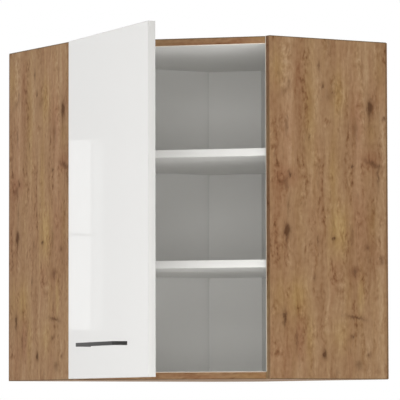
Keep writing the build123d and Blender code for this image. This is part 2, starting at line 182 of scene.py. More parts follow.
def ease(value, low, high):
    """0 below low and 1 above high, with a soft step between them."""
    return Wire.node("ShaderNodeMapRange", {"interpolation_type": "SMOOTHSTEP"},
                     {"Value": value, "From Min": low, "From Max": high})


def point(x, y=0.0, z=0.0):
    """Three values as one place."""
    return Wire.node("ShaderNodeCombineXYZ", None, {"X": x, "Y": y, "Z": z})


def noise(where, scale=1.0, detail=2.0, roughness=0.5):
    """Soft spots at random, about 1 / scale wide; detail and roughness add finer ones."""
    return Wire.node("ShaderNodeTexNoise", None,
                     {"Vector": where, "Scale": scale, "Detail": detail, "Roughness": roughness})


print("noise wanders between", -0.5, "and", 0.5, "of its swing")

# %% [markdown]
# Colours need nodes of their own, because a Math node would turn them grey. They are written down as
# they look on a screen, and turned into the linear ones that light is reckoned in.

# %% Words for colours
def blend(factor, first, second):
    """A colour between two others."""
    return Wire.node("ShaderNodeMix", {"data_type": "RGBA"}, {0: factor, 6: first, 7: second}, 2)


def tinted(factor, colour, tint):
    """A colour with some of its light taken away, as through coloured glass."""
    return Wire.node("ShaderNodeMix", {"data_type": "RGBA", "blend_type": "MULTIPLY"},
                     {0: factor, 6: colour, 7: tint}, 2)


def ramp(factor, *stops):
    """A colour picked from a row of them; a stop is its place between 0 and 1 and its colour."""
    return Wire.node("ShaderNodeValToRGB", {"stops": stops}, {"Fac": factor})


def rgb(red, green, blue):
    """A screen colour, 0 to 255, as the linear one that shaders use."""
    return tuple((v / 255 / 12.92) if v <= 10 else ((v / 255 + 0.055) / 1.055) ** 2.4
                 for v in (red, green, blue))


def rgba(red, green, blue):
    """The same colour, opaque."""
    return (*rgb(red, green, blue), 1)


print("screen grey 188 is", round(rgb(188, 188, 188)[0], 2), "to a shader")

# %% [markdown]
# A finish is made once and shared by the pieces that have it. What stays the same all over goes
# straight onto the shader's own sockets, and only what varies is wired in. A height in metres bends
# the surface a little through a Bump node, which is enough for pores, brush marks and the faint
# waves in lacquer.

# %% Make a finish
def finish_of(name, varied, **constant):
    """A material; varied makes its wires and returns them by the name of their socket."""
    material = bpy.data.materials.new(name)
    material.use_nodes = True
    Wire.tree = material.node_tree
    shader = material.node_tree.nodes["Principled BSDF"]
    for socket, value in constant.items():
        shader.inputs[socket.replace("_", " ")].default_value = value
    for socket, wire in varied().items():
        if socket == "Height":
            wire = Wire.node("ShaderNodeBump", None, {"Strength": 1.0, "Distance": 1.0, "Height": wire})
            socket = "Normal"
        material.node_tree.links.new(wire.socket, shader.inputs[socket])
    print("finish", name, "with", len(material.node_tree.nodes), "nodes")
    return material


print(len(bpy.data.materials), "materials so far")

# %% [markdown]
# No piece needs to be unwrapped. Each finish is worked out from where a point is, measured from the
# corner of the room, so it has the same scale on every board and no seam runs across one.

# %% Where a point is
def place():
    """Where a point of the surface is, in metres from the corner of the room."""
    return Wire.node("ShaderNodeTexCoord", None, None, 3)


def along(direction, start=(0, 0, 0)):
    """Distance in millimetres from a starting point in some direction."""
    aimed = Wire.node("ShaderNodeVectorMath", {"operation": "DOT_PRODUCT"},
                      {0: place(), 1: tuple(MM * v for v in direction)}, 1)
    return aimed - MM * Vector(start).dot(Vector(direction))


print("the door's corner is", round(MM * door_corner.length), "mm from the corner of the room")

# %% [markdown]
# ## Oak decor
# The sides are chipboard with a printed oak decor: an even brown with soft streaks along the grain,
# yellower and redder patches, thin dark cracks and a few knots. Both sides show the same print, so
# its marks are short lists in millimetres across and up the sheet. A mark is its middle, half its
# width and height, and its strength. A twig lies aslant and has its slope before its strength.

# %% Knots, twigs and patches of the print
KNOTS = (
    (50, 430, 4, 5, 0.6), (43, 408, 3.5, 8, 0.35), (252, 578, 5.5, 11, 1.2), (250, 552, 2.2, 14, 0.3),
    (43, 312, 5.5, 10, 1.2), (42, 292, 2.5, 12, 0.4), (135, 52, 4.4, 6, 1.1), (37, 128, 3, 12, 0.9),
    (160, 296, 2.8, 4, 1.1), (119, 291, 2.2, 8, 0.5), (111, 214, 2.4, 6, 0.45), (244, 280, 4, 5, 0.5),
    (207, 451, 2.2, 3, 0.9), (123, 661, 2.2, 8, 0.5), (66, 80, 2.6, 18, 0.4), (205, 302, 3, 12, 0.3),
    (222, 31, 7, 7, 0.4), (212, 228, 6, 7, 0.5), (42, 531, 3, 14, 0.35), (214, 529, 5, 17, 0.3),
    (272, 432, 2.2, 20, 0.5), (289, 556, 3.5, 3, 0.6), (246, 51, 2.2, 4, 0.5), (280, 253, 3.5, 7, 0.5),
    (48, 620, 2.5, 9, 0.35), (133, 620, 3, 4, 0.6), (98, 508, 2, 6, 0.5), (46, 364, 2.4, 14, 0.35),
)
TWIGS = (
    (258, 458, 15, 4, -0.35, 0.55), (214, 130, 17, 3, -0.18, 0.6), (38, 604, 8, 5, 0.7, 0.25),
    (205, 90, 7, 4, 0.6, 0.4), (150, 600, 9, 9, 0.3, 0.15), (36, 414, 9, 5, 0.9, 0.3),
)
YELLOW = (
    (100, 560, 13, 95, 0.7), (172, 603, 16, 40, 0.8), (158, 434, 12, 65, 0.6), (172, 313, 20, 45, 1.2),
    (69, 170, 20, 38, 1.1), (228, 186, 8, 38, 0.7), (177, 91, 20, 30, 0.6), (100, 91, 9, 42, 0.6),
    (20, 650, 15, 34, 0.6), (255, 524, 10, 25, 0.5), (196, 176, 10, 42, 0.4), (277, 655, 12, 34, 0.4),
    (258, 334, 8, 30, 0.5), (20, 170, 12, 34, 0.5),
)
RED = (
    (45, 524, 20, 75, 0.6), (70, 645, 10, 40, 0.5), (218, 545, 14, 58, 0.9), (252, 466, 24, 18, 0.8),
    (45, 424, 24, 19, 0.8), (224, 344, 20, 78, 0.7), (70, 82, 9, 38, 0.9), (14, 334, 13, 85, 0.5),
    (164, 228, 14, 24, 0.5), (215, 223, 12, 14, 0.6), (270, 262, 14, 20, 0.4), (272, 605, 9, 30, 0.5),
    (24, 40, 20, 30, 0.4),
)
PALE = (                 # a strength below 0 darkens
    (165, 610, 30, 110, 0.16), (266, 110, 34, 130, 0.2), (284, 420, 12, 200, 0.12),
    (176, 225, 30, 65, -0.16), (20, 230, 16, 70, -0.08),
)
print(len(KNOTS), "knots,", len(TWIGS), "twigs and", len(YELLOW + RED + PALE), "patches")

# %% [markdown]
# A mark could be a ring or a disc, but on the print each fades into the wood. A bell curve of the
# distance from its middle, measured in half widths and half heights, does that with a few nodes.

# %% Soft marks
FADE = -0.7              # a mark is half as strong at its half width


def spots(sheet, marks):
    """The sum of soft spots on a sheet."""
    total = 0.0
    for across, up, width, height, strength in marks:
        from_middle = Wire.node(
            "ShaderNodeVectorMath", {"operation": "MULTIPLY_ADD"},
            {0: sheet, 1: (1 / width, 1 / height, 0), 2: (-across / width, -up / height, 0)})
        square = Wire.node("ShaderNodeVectorMath", {"operation": "DOT_PRODUCT"},
                           {0: from_middle, 1: from_middle}, 1)
        total = Wire.maths("EXPONENT", square * FADE) * strength + total
    return total


def twigs(across, up, marks):
    """The sum of spots that lie aslant."""
    total = 0.0
    for middle, height, length, thickness, slope, strength in marks:
        leaned = point(across, up - (across - middle) * slope)
        total = spots(leaned, ((middle, height, length, thickness, strength),)) + total
    return total


print("at its half width a mark has", round(exp(FADE), 2), "of its strength")

# %% [markdown]
# A wood texture with rings would look like a plank. This print is streaky, so it is made of noise that
# is stretched along the grain, with each layer's spots so many millimetres wide and long. Layers of
# tone come first, then the tints, and last the dark cracks, dashes and knots. Only the sides show the
# listed marks, and each other board gets its own part of the noise by its seed.

# %% The oak print
OAK_TONES = (
    (0.00, (98, 67, 41)), (0.25, (126, 93, 65)), (0.45, (137, 106, 77)),
    (0.65, (145, 115, 85)), (1.00, (162, 134, 104)),
)
YELLOWER, REDDER = (0.99, 1.0, 0.78, 1), (1.0, 0.91, 0.93, 1)
ROUND_KNOTS, UMBER = (116, 80, 54), (74, 48, 30)


def shaded(level, colour):
    """A screen colour as a linear one, darker or lighter."""
    return tuple(level * v for v in rgb(*colour))


def oak(across, up, marks=(), slanted=(), seed=0.0, level=1.0):
    """Colour, roughness and height of the print, from millimetres across and along its grain."""
    def layer(sideways, width, length, shift, detail=1.0, roughness=0.5):
        return noise(point(sideways / width, up / length, seed + shift), 1.0, detail, roughness)

    bent = across + swing(layer(across, 90, 300, 0), 20) + swing(layer(across, 24, 55, 61), 16)
    ragged = layer(across, 7, 12, 3, 2.0)
    shift_across, shift_up = swing(ragged, 12), swing(layer(across, 7, 12, 5, 2.0), 16)
    sheet = point(across + shift_across, up + shift_up)

    streak = layer(bent, 9, 90, 11, 2.0, 0.55)
    mottle = layer(bent, 6.5, 12, 13, 2.0)
    fibre = layer(bent, 3.2, 45, 17)
    rough_part = ease(layer(bent, 24, 80, 19), 0.5, 0.62)
    tone = (0.55 + swing(layer(bent, 30, 420, 7), 1.1) + swing(streak, 0.65) + swing(fibre, 0.36)
            + swing(mottle, 0.62 + rough_part * 0.9) - rough_part * 0.1)
    yellow = ease(layer(bent, 22, 260, 53), 0.54, 0.64) * 0.5
    red = ease(layer(bent, 26, 260, 31), 0.5, 0.64) * 0.8
    if marks:
        yellow = yellow * 0.3 + spots(sheet, YELLOW)
        red = red * 0.3 + spots(sheet, RED)
        tone = tone + spots(sheet, PALE)
    yellow, red = least(yellow, 1.0), least(red, 1.0)
    browns = [(stop, shaded(level, brown)) for stop, brown in OAK_TONES]
    colour = ramp(tone + yellow * 0.15 - red * 0.16, *browns)
    colour = tinted(red, tinted(yellow, colour, YELLOWER), REDDER)

    crack = abs(layer(bent, 12, 90, 41, 3.0, 0.55) - 0.5)
    split = (1 - ease(crack, 0.006, 0.03)) * ease(layer(bent, 26, 50, 47, 2.0), 0.5, 0.66)
    dashes = ease(layer(bent, 2.6, 14, 23), 0.6, 0.74)
    dark = split * 0.22 + dashes * (0.05 + 0.25 * rough_part)
    if marks:
        core = spots(sheet, marks) + twigs(across + shift_across, up + shift_up, slanted)
        halo = least(core ** 0.22, 1.0)
        colour = blend(halo * ease(streak + mottle, 0.7, 1.2) * 0.5, colour, rgba(*ROUND_KNOTS))
        dark = dark + core * (0.75 + 1.1 * ragged) + halo * dashes * 0.5
    dark = least(dark, 1.0)
    colour = blend(dark * 0.85, colour, (*shaded(level, UMBER), 1))
    return colour, 0.5 + dark * 0.16 + swing(fibre, 0.1), (dashes + split + dark) * -0.00003


print("the print runs through", len(OAK_TONES), "browns")

# %% [markdown]
# ## White melamine
# The inside of the cabinet is white melamine. It has a very fine dimpled skin, which takes the shine
# off it, and is never quite the same white all over.

# %% White melamine
WHITES = (239, 238, 235), (243, 242, 239)
SHELF_EDGE_PAINTED_SHADE = 26     # painted shade: the edgings of the shelves are this much greyer than the shelves


def melamine(grey=0):
    """Colour, roughness and height of white melamine; grey takes that much off its colour."""
    skin = noise(place(), 1400.0, 2.0, 0.6)
    cloud = noise(place(), 9.0, 2.0)
    colour = blend(cloud, *(rgba(*(v - grey for v in shade)) for shade in WHITES))
    return colour, 0.42 + swing(skin, 0.12), skin * 0.00002


def plain_white():
    """The same white, named for the sockets that it goes into."""
    colour, rough, height = melamine()
    return {"Base Color": colour, "Roughness": rough, "Height": height}


def strip(grey):
    """White that is smoother than the boards and greyer than them, the grey being painted shade."""
    def varied():
        colour, rough, height = melamine(grey)
        return {"Base Color": colour, "Roughness": rough - 0.06, "Height": height * 0.5}
    return varied


white = finish_of("white_melamine", plain_white)
white_edging = finish_of("white_edging", strip(SHELF_EDGE_PAINTED_SHADE))
finishes = {"lower_shelf": white, "upper_shelf": white,
            "lower_shelf_edging": white_edging, "upper_shelf_edging": white_edging}

# %% [markdown]
# ## Boards with two faces
# A side is oak outside and white inside, and so are the top and bottom boards. They could be cut into
# two pieces, but a real board is one. The shader tells the faces apart by where they are: the white
# face of a side lies a board's thickness inside its outer face. A thin dark line is also painted
# where the print ends, on the outer face only, as painted shade along the edges.

# %% Sides, top and bottom
DULL = 0.07              # how strongly the printed paper shines, where smooth plastic has 0.5
EDGE_SHADE_STRENGTH = 0.72            # painted shade: how far the dark line along the edges hides the print


def two_faced(name, is_white, wood):
    """The finish of an oak board with a white face, where is_white is 1."""
    def varied():
        mask = is_white()
        colour, rough, height = wood()
        pale, pale_rough, pale_height = melamine()
        return {"Base Color": blend(mask, colour, pale),
                "Roughness": rough + mask * (pale_rough - rough),
                "Height": height + mask * (pale_height - height)}
    return finish_of(name, varied, Specular_IOR_Level=DULL)


def edge_line(*distances):
    """1 on the outermost millimetre of a face and 0 from 2.4 inwards; distances are from its edges."""
    nearest = distances[0]
    for distance in distances[1:]:
        nearest = least(nearest, distance)
    return 1 - ease(nearest, 0.9, 2.4)


def with_painted_edge_shade(wood, line):
    """The print, darker where line is 1: painted shade along its edges."""
    colour, rough, height = wood
    return blend(line * EDGE_SHADE_STRENGTH, colour, rgba(72, 60, 40)), rough, height


def outer_face(depth):
    """1 on the outer face of a side, from which depth is measured."""
    return 1 - ease(depth, 0.5, 1.5)


def left_side():
    """The print with its painted dark edge line, and painted light: it is lighter here than on the
    right-hand side, which gets more light.
    """
    across, up, depth = along(ALONG_RIGHT), along(UP), WALL - along(ALONG_LEFT)
    front = (SIDE - across) * 0.45           # the line in front is twice as wide as the others
    line = edge_line(across - SHEET, front, up, HEIGHT - up) * outer_face(depth)
    return with_painted_edge_shade(oak(across, up, KNOTS, TWIGS, level=1.14), line)


def right_side():
    """The same print, which isn't a mirror image: it starts at the front here, not at the wall."""
    across, up, depth = along(ALONG_LEFT), along(UP), WALL - along(ALONG_RIGHT)
    line = edge_line(across - SHEET, up, HEIGHT - up) * outer_face(depth)
    return with_painted_edge_shade(oak(SIDE - across, up, KNOTS, TWIGS), line)


def lying(seed):
    """The print on a board that lies flat, its grain from left to right."""
    return lambda: oak(along(BACK), along(RIGHT), seed=seed)


finishes["left_side_panel"] = two_faced(
    "oak_left", lambda: along(ALONG_LEFT) < WALL - BOARD + PLAY, left_side)
finishes["right_side_panel"] = two_faced(
    "oak_right", lambda: along(ALONG_RIGHT) < WALL - BOARD + PLAY, right_side)
finishes["top_panel"] = two_faced("oak_top", lambda: along(UP) < HEIGHT - BOARD + PLAY, lying(5.0))
finishes["bottom_panel"] = two_faced("oak_bottom", lambda: along(UP) > BOARD - PLAY, lying(9.0))

# %% [markdown]
# ## Edgings
# The front edges are closed with an oak edging less than a millimetre thick. Where it meets the
# white face, the white layer of the board shows as a thin pale line, so the edging's finish turns
# cream close to that face. On the sides that line ends at the bottom board, which covers the face.

# %% Oak edgings
CREAM = rgba(214, 203, 188)


def edged(node, name, from_white, wood, width=1.2):
    """Oak edging with a pale line; from_white is the distance in millimetres from the white face."""
    def varied():
        line = 1 - ease(from_white(), width - 0.3, width + 0.3)
        colour, rough, height = wood()
        return {"Base Color": blend(line, colour, CREAM), "Roughness": rough, "Height": height}
    finishes[node] = finish_of(name, varied, Specular_IOR_Level=DULL)


def beside_white(direction):
    """Distance from a side's white face, or more than any line is wide beside the bottom board."""
    covered = along(UP) < BOARD
    return along(direction) - (WALL - BOARD) + covered * 10


# the side edgings' print is darker: partly the edging's own darker decor, partly painted shade where
# little light reaches them
edged("left_side_edging", "edging_left", lambda: beside_white(ALONG_LEFT),
      lambda: oak(along(ALONG_LEFT), along(UP), seed=13.0, level=0.75))
edged("right_side_edging", "edging_right", lambda: beside_white(ALONG_RIGHT),
      lambda: oak(along(ALONG_RIGHT), along(UP), seed=15.0, level=0.74), 3.2)
edged("top_panel_edging", "edging_top", lambda: along(UP) - (HEIGHT - BOARD),
      lambda: with_painted_edge_shade(oak(along(UP), along(RIGHT), seed=19.0, level=0.96),
                      edge_line(HEIGHT - along(UP))))
edged("bottom_panel_edging", "edging_bottom", lambda: BOARD - along(UP),
      lambda: with_painted_edge_shade(oak(along(UP), along(RIGHT), seed=21.0, level=0.94),
                      edge_line(along(UP))))

# %% [markdown]
# ## Back sheets
# The panel across the room corner is white. The two back sheets are thin hardboard that is lacquered
# on one side only, so the side that faces the wall is bare brown fibre. Where a sheet meets the panel
# across the corner there is a thin dark joint line, painted shade darkens the deep corner, and the
# whole back is painted a little greyer than the shelves as painted shade.

# %% The back
CORNER_PAINTED_SHADE = 3          # painted shade: the back is this much greyer than the shelves
JOINT = 89.6             # how far along a wall its back sheet meets the corner panel


def hardboard(direction, sideways, *shades):
    """White lacquer inside, bare fibre towards the wall; shades are (amount, reach) of painted shade
    from its joint, and the narrowest also make a dark joint line.
    """
    def varied():
        fibre = noise(place(), 160.0, 4.0, 0.7)
        speck = noise(place(), 700.0, 2.0, 0.6)
        bare = ramp(fibre * 0.6 + speck * 0.4, (0.3, rgb(104, 76, 52)), (0.5, rgb(128, 97, 68)),
                    (0.7, rgb(150, 119, 87)))
        colour, rough, height = melamine(CORNER_PAINTED_SHADE)
        from_joint = along(sideways) - JOINT
        # painted shade darkens the sheet towards its joint in the deep corner; the narrowest part is
        # also a dark joint line
        joint_line_and_painted_shade = sum(amount * (1 - ease(from_joint, 0.0, reach)) for amount, reach in shades)
        colour = blend(joint_line_and_painted_shade, colour, rgba(52, 51, 49))
        mask = along(direction) > SHEET - PLAY / 2
        return {"Base Color": blend(mask, bare, colour), "Roughness": 0.8 + mask * (rough - 0.8),
                "Height": speck * 0.00006 * (1 - mask)}
    return varied


finishes["rear_corner_panel"] = finish_of("white_rear_panel", strip(CORNER_PAINTED_SHADE))
finishes["left_back_sheet"] = finish_of("hardboard_left", hardboard(
    ALONG_RIGHT, ALONG_LEFT, (0.04, 8), (0.03, 18)))
finishes["right_back_sheet"] = finish_of("hardboard_right", hardboard(
    ALONG_LEFT, ALONG_RIGHT, (0.06, 6), (0.14, 130)))

# %% [markdown]
# ## The glossy door
# The door is faced with high-gloss white, and its back is plain white melamine. High gloss is a
# smooth clear skin over the colour, so it reflects the room sharply, with very long soft waves.

# %% Door finishes
GLOSS_ROUGHNESS = 0.015
# painted shade: the door's edging is painted this much greyer than white melamine
DOOR_EDGE_PAINTED_SHADE = 46


def gloss():
    """High gloss in front and melamine on the back."""
    back = along(OUTWARD, door_corner) < PLAY / 2
    wave = noise(place(), 14.0, 1.0)
    cloud = noise(place(), 5.0, 2.0)
    colour, rough, height = melamine()
    shine = blend(cloud, rgba(226, 225, 223), rgba(228, 227, 225))
    return {"Base Color": blend(back, shine, colour),
            "Roughness": GLOSS_ROUGHNESS + back * (rough - GLOSS_ROUGHNESS),
            "Height": wave * 0.00002 + back * height}


finishes["door_panel"] = finish_of("door_gloss", gloss)
finishes["door_edging"] = finish_of("door_edging", strip(DOOR_EDGE_PAINTED_SHADE))

# %% [markdown]
# ## Metal, plastic and beech
# The fittings are small, but each metal has its own colour and grain. The handle is coated in
# anthracite, the hinges are nickel-plated, and the brackets, cams, bolts and nails are zinc-plated.

# %% Finishes of the fittings
def metal(name, dark, light, smoothest, roughest, grain, metallic=1.0):
    """A metal with fine marks all over, from dark to light and from smooth to rough."""
    def varied():
        marks = noise(place(), grain, 3.0, 0.65)
        cloud = noise(place(), 60.0, 2.0)
        return {"Base Color": blend(marks * 0.5 + cloud * 0.5, rgba(*dark), rgba(*light)),
                "Roughness": smoothest + marks * (roughest - smoothest), "Height": marks * 0.000002}
    return finish_of(name, varied, Metallic=metallic)


def moulded():
    """White plastic with a fine grain from its mould."""
    skin = noise(place(), 2200.0, 2.0)
    return {"Base Color": blend(skin, rgba(226, 226, 222), rgba(232, 232, 228)),
            "Roughness": 0.38 + skin * 0.1, "Height": skin * 0.000008}


def turned_beech():
    """Beech with the short flecks of its rays."""
    fleck = noise(place(), 420.0, 3.0, 0.6)
    return {"Base Color": blend(fleck, rgba(176, 138, 98), rgba(204, 170, 128)),
            "Roughness": 0.6 + fleck * 0.1, "Height": fleck * 0.00002}


anthracite = metal("anthracite_handle", (58, 57, 56), (72, 71, 70), 0.34, 0.5, 1500.0, 0.85)
nickel = metal("nickel_plate", (196, 194, 190), (214, 212, 207), 0.22, 0.32, 2600.0)
zinc = metal("zinc_plate", (184, 188, 192), (206, 208, 210), 0.3, 0.46, 2000.0)
plastic = finish_of("white_plastic", moulded)
beech = finish_of("beech_dowel", turned_beech)

# %% [markdown]
# Now each piece that came from the CAD model can be dressed. Some of them will be swapped for a finer
# copy, but they get their finish as well, because the copy takes the same one.

# %% Dress the CAD pieces
NICKEL = ("lower_hinge_cup", "upper_hinge_cup", "lower_hinge_arm", "upper_hinge_arm",
          "lower_hinge_plate", "upper_hinge_plate", "lower_hinge_pin", "upper_hinge_pin",
          "hinge_cup_screws", "hinge_plate_screws", "hinge_arm_screws", "handle_screws")
ZINC = ("left_hanging_bracket", "right_hanging_bracket", "bracket_screws", "connector_cams",
        "cam_bolts", "rear_panel_screws", "left_back_nails", "right_back_nails")
PLASTIC = ("lower_shelf_supports", "upper_shelf_supports", "cam_caps")
finishes.update(dict.fromkeys(NICKEL, nickel))
finishes.update(dict.fromkeys(ZINC, zinc))
finishes.update(dict.fromkeys(PLASTIC, plastic))
finishes.update(carcass_dowels=beech, handle=anthracite)

for name, node in frame["nodes"].items():
    if node.material_slots:
        for material_slot in node.material_slots:
            material_slot.material = finishes[name]
    else:
        print(name, "has no material slot")
print(len(finishes), "finishes for", len(frame["nodes"]), "pieces")

# %% [markdown]
# ## Edges that catch the light
# No real edge is quite sharp: edging is scraped round after it is glued, and pressed steel comes
# round out of its die. The CAD pieces have the right shape and sharp edges, so a copy of such a
# piece gets a narrow bevel and takes its place. The CAD mesh keeps each flat face by itself, so the
# copy's corners are joined first, and the lines inside its flat faces are taken out.

# %% Copy a piece and round its edges
bodies = {node: body for body, nodes in frame["record"]["behaviour"]["bodies"].items()
          for node in nodes}
ON_FACE = 0.05           # millimetres; a point this close to a face lies on it
NOTHING = 0.00001        # metres; heights that differ by less are the same


def joined(node):
    """The mesh of a CAD node with its faces joined, ready to be worked on."""
    bm = bmesh.new()
    bm.from_mesh(frame["nodes"][node].data)
    bmesh.ops.remove_doubles(bm, verts=bm.verts, dist=0.02 / MM)
    bmesh.ops.dissolve_limit(bm, angle_limit=radians(0.5), verts=bm.verts, edges=bm.edges)
    bm.normal_update()
    return bm


def stand_in(bm, node, word):
    """Make a piece of a mesh, and let it take the place of a CAD node."""
    mesh = bpy.data.meshes.new(f"{node}_{word}")
    bm.to_mesh(mesh)
    bm.free()
    mesh.polygons.foreach_set("use_smooth", [True] * len(mesh.polygons))
    mesh.set_sharp_from_angle(angle=radians(35))
    mesh.materials.append(finishes[node])
    made = bpy.data.objects.new(f"{node}_{word}", mesh)
    bpy.context.collection.objects.link(made)
    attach(made, bodies[node])
    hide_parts(node)
    print(made.name, len(mesh.polygons), "faces")
    return made


def round_off(bm, edges, width):
    """Give edges a narrow round; its width is in millimetres."""
    bmesh.ops.bevel(bm, geom=edges, offset=width / MM, segments=3, profile=0.5, affect="EDGES",
                    clamp_overlap=True)


def softened(node, width, where=lambda spot: True):
    """Round the outer edges of a node, or only those with both ends where it says."""
    bm = joined(node)
    edges = [edge for edge in bm.edges if len(edge.link_faces) == 2 and edge.is_convex
             and edge.calc_face_angle() > radians(40) and all(where(vert.co) for vert in edge.verts)]
    round_off(bm, edges, width)
    stand_in(bm, node, "rounded")


# %% [markdown]
# A narrow edging is only rounded along its front, where it can be seen and touched, since its other
# edges are glued down. The door's edging is rounded on both sides, and metal and plastic all over.

# %% Round the edgings and fittings
def front_of(direction, reach):
    """True for points on the face that is reach millimetres out in a direction."""
    return lambda spot: abs(spot.dot(direction) * MM - reach) < ON_FACE


softened("left_side_edging", 0.5, front_of(ALONG_RIGHT, SIDE))
softened("right_side_edging", 0.5, front_of(ALONG_LEFT, SIDE))
for node in ("top_panel_edging", "bottom_panel_edging", "lower_shelf_edging", "upper_shelf_edging"):
    softened(node, 0.5, front_of(-BACK, -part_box(node)[0].y * MM))

door_low, door_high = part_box("door_edging")
door_width = (Vector((door_high.x, door_low.y, 0)) - door_corner).dot(ACROSS)


def on_door_outline(spot):
    """True for points on the narrow outer faces of the door."""
    from_edge = (spot - door_corner).dot(ACROSS)
    gaps = from_edge, from_edge - door_width, spot.z - door_low.z, spot.z - door_high.z
    return min(abs(gap) for gap in gaps) * MM < ON_FACE


softened("door_edging", 0.6, on_door_outline)
for node in ("lower_hinge_cup", "upper_hinge_cup", "lower_hinge_arm", "upper_hinge_arm",
             "lower_hinge_plate", "upper_hinge_plate", "left_hanging_bracket", "right_hanging_bracket"):
    softened(node, 0.35)
for node in ("lower_shelf_supports", "upper_shelf_supports"):
    softened(node, 0.9)
for node in ("lower_hinge_pin", "upper_hinge_pin"):
    softened(node, 0.25)

# %% [markdown]
# ## Handle
# The handle is a square bar bent into a flat bow, with tight corners and narrow rounds along its
# whole length. Its outline is drawn as one face that lies across the door, pulled up to the bar's
# height, and then every long edge is rounded. In the photograph the bow leaves neither a shadow nor
# a mirror image on the door, so both are switched off.

# %% Bow handle
BAR = 8.0                # thickness and height of the bar; these sizes too are in millimetres
SPAN = 100.0             # half of the handle's length
STANDOFF = 32.0
BEND, INNER_BEND = 3.0, 1.5      # radii of the bow's corners
BAR_ROUND = 0.9


def arc(across, out, radius, start, end, steps=6):
    """Points of a round corner, the angles in degrees."""
    turns = [radians(start + (end - start) * k / steps) for k in range(steps + 1)]
    return [(across + radius * cos(turn), out + radius * sin(turn)) for turn in turns]


outer = (arc(BEND - SPAN, STANDOFF - BEND, BEND, 180, 90)
         + arc(SPAN - BEND, STANDOFF - BEND, BEND, 90, 0))
inside = SPAN - BAR - INNER_BEND
hollow = (arc(inside, STANDOFF - BAR - INNER_BEND, INNER_BEND, 0, 90)
          + arc(-inside, STANDOFF - BAR - INNER_BEND, INNER_BEND, 90, 180))
bow = [(-SPAN, 0)] + outer + [(SPAN, 0), (SPAN - BAR, 0)] + hollow + [(BAR - SPAN, 0)]
print("the bow's outline has", len(bow), "points")

# %% [markdown]
# The outline is in millimetres on the door, so it first has to be carried to where the open door is.
# Only the edges along the bar get a round, and not those of the feet, which stand on the door.

# %% Pull the bow up to its height
handle_low, handle_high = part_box("handle")
foot = door_corner + ACROSS * door_width / 2 + OUTWARD * (BOARD / MM)
foot.z = handle_low.z
handle_mesh = bmesh.new()
outline = handle_mesh.faces.new(
    [handle_mesh.verts.new(foot + (ACROSS * across + OUTWARD * out) / MM) for across, out in bow])
raised = bmesh.ops.extrude_face_region(handle_mesh, geom=[outline])
bmesh.ops.translate(handle_mesh, vec=(0, 0, handle_high.z - handle_low.z),
                    verts=[item for item in raised["geom"] if isinstance(item, bmesh.types.BMVert)])
bmesh.ops.recalc_face_normals(handle_mesh, faces=handle_mesh.faces)
long_edges = [edge for edge in handle_mesh.edges
              if abs(edge.verts[0].co.z - edge.verts[1].co.z) < NOTHING
              and any((vert.co - foot).dot(OUTWARD) > NOTHING for vert in edge.verts)]
round_off(handle_mesh, long_edges, BAR_ROUND)
handle_bow = stand_in(handle_mesh, "handle", "bow")
handle_bow.visible_shadow = handle_bow.visible_diffuse = handle_bow.visible_glossy = False

# %% [markdown]
# ## Screws, nails and cams
# These are round pieces, and most have a recess in their heads that a driver or a key fits: a cross,
# or a hexagon on the long screws of the panel across the corner.

# %% Recesses
def cross(reach):
    """Outline of a cross recess: three corners of one arm, turned round to the other three arms."""
    half = reach * 0.28
    outline, arm = [], [(reach, -half), (reach, half), (half, half)]
    for _ in range(4):
        outline += arm
        arm = [(-y, x) for x, y in arm]
    return outline


def hexagon(reach):
    """Outline of a hexagon recess; reach is the distance of its corners."""
    return [(reach * cos(k * pi / 3), reach * sin(k * pi / 3)) for k in range(6)]


print("a cross recess has", len(cross(1.0)), "corners and a hexagon", len(hexagon(1.0)))

# %% [markdown]
# A boolean could cut the recess out, but it leaves rough triangles where it cuts. So one of each kind
# is turned from a short profile, its flat top is filled between the rim and the outline of the
# recess, and the recess is sunk from there.

# %% Turn a fastener
TAPER = 0.8              # a recess is this much narrower at its bottom


def fastener(profile, recess=(), depth=1.0, sides=32):
    """Turned from (radius, height) in millimetres, from the tip up to the flat top at height 0."""
    bm = bmesh.new()
    rings = [[bm.verts.new((radius * cos(2 * pi * k / sides), radius * sin(2 * pi * k / sides), height))
              for k in range(sides if radius else 1)] for radius, height in profile]
    for low, high in zip(rings, rings[1:]):
        for k in range(sides):
            corners = [low[k % len(low)], low[(k + 1) % sides % len(low)],
                       high[(k + 1) % sides % len(high)], high[k % len(high)]]
            bm.faces.new(list(dict.fromkeys(corners)))
    if len(rings[0]) > 1:
        bm.faces.new(rings[0])
    if recess:
        lip = [bm.verts.new((x, y, 0)) for x, y in recess]
        sunk = [bm.verts.new((x * TAPER, y * TAPER, -depth)) for x, y in recess]
        pairs = [(loop[k], loop[(k + 1) % len(loop)])
                 for loop in (rings[-1], lip) for k in range(len(loop))]
        edges = [bm.edges.get(pair) or bm.edges.new(pair) for pair in pairs]
        bmesh.ops.triangle_fill(bm, edges=edges, use_beauty=True, normal=UP)
        for k in range(len(lip)):
            n = (k + 1) % len(lip)
            bm.faces.new((lip[k], lip[n], sunk[n], sunk[k]))
        bm.faces.new(sunk)
    else:
        bm.faces.new(rings[-1])
    bmesh.ops.recalc_face_normals(bm, faces=bm.faces)
    bmesh.ops.scale(bm, vec=(1 / MM, 1 / MM, 1 / MM), verts=bm.verts)
    return bm


def pan_head(head, rise, shank, length):
    """A screw with a low domed head and a pointed tip; head and shank are radii in millimetres."""
    return fastener([(0, -length), (shank * 0.5, 1.2 * shank - length), (shank, 2 * shank - length),
                     (shank, -rise), (head, -rise), (head, -rise * 0.5), (head * 0.93, -rise * 0.2),
                     (head * 0.78, 0)], cross(head * 0.52), rise * 0.8)


print("the bottom of a recess is", TAPER, "of its width")

# %% [markdown]
# The copies go where the CAD solids are. A node holds several of them in one mesh, so it is first
# taken apart into solids, by walking from each corner point to its neighbours.

